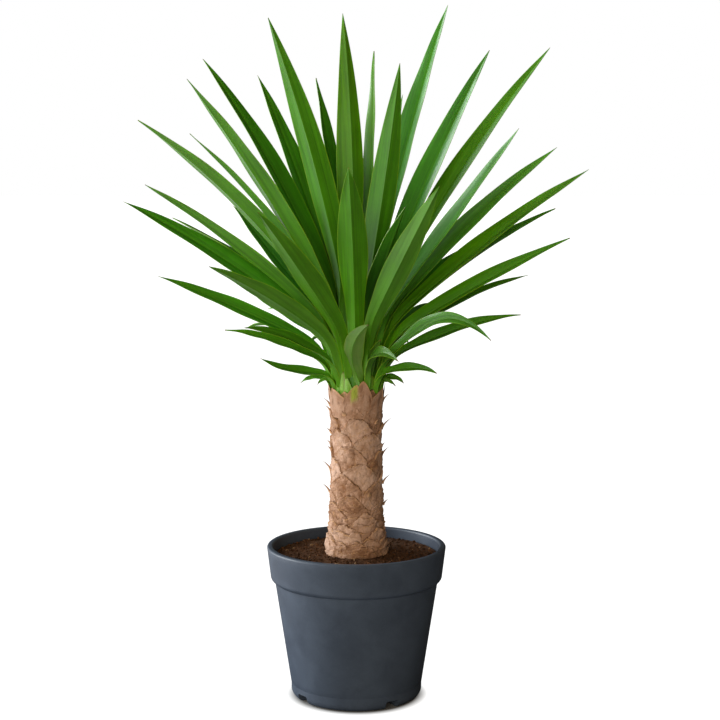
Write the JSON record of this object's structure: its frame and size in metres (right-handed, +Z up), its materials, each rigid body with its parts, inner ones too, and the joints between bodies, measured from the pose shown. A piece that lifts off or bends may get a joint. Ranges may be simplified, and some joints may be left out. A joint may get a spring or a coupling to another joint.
{
  "type": "potted yucca",
  "caption": "Yucca house plant: a head of long sword leaves on a bark-covered cane, standing in soil in a tapered nursery pot with a banded rim.",
  "frame": {"origin": "centre of the pot's axis at the floor it stands on", "axes": "+Z up along the cane and the pot's axis, +X to the right of the side shown in the picture, -Y towards that side's viewer"},
  "size_m": [0.5327, 0.4698, 0.8093],
  "materials": {
    "pot_plastic": "matte",
    "soil": "matte",
    "bark": "matte",
    "leaf": "satin"
  },
  "bodies": {
    "root": {"pot": "pot_plastic", "soil": "soil", "cane": "bark", "leaf_head": "leaf"}
  },
  "joints": []
}
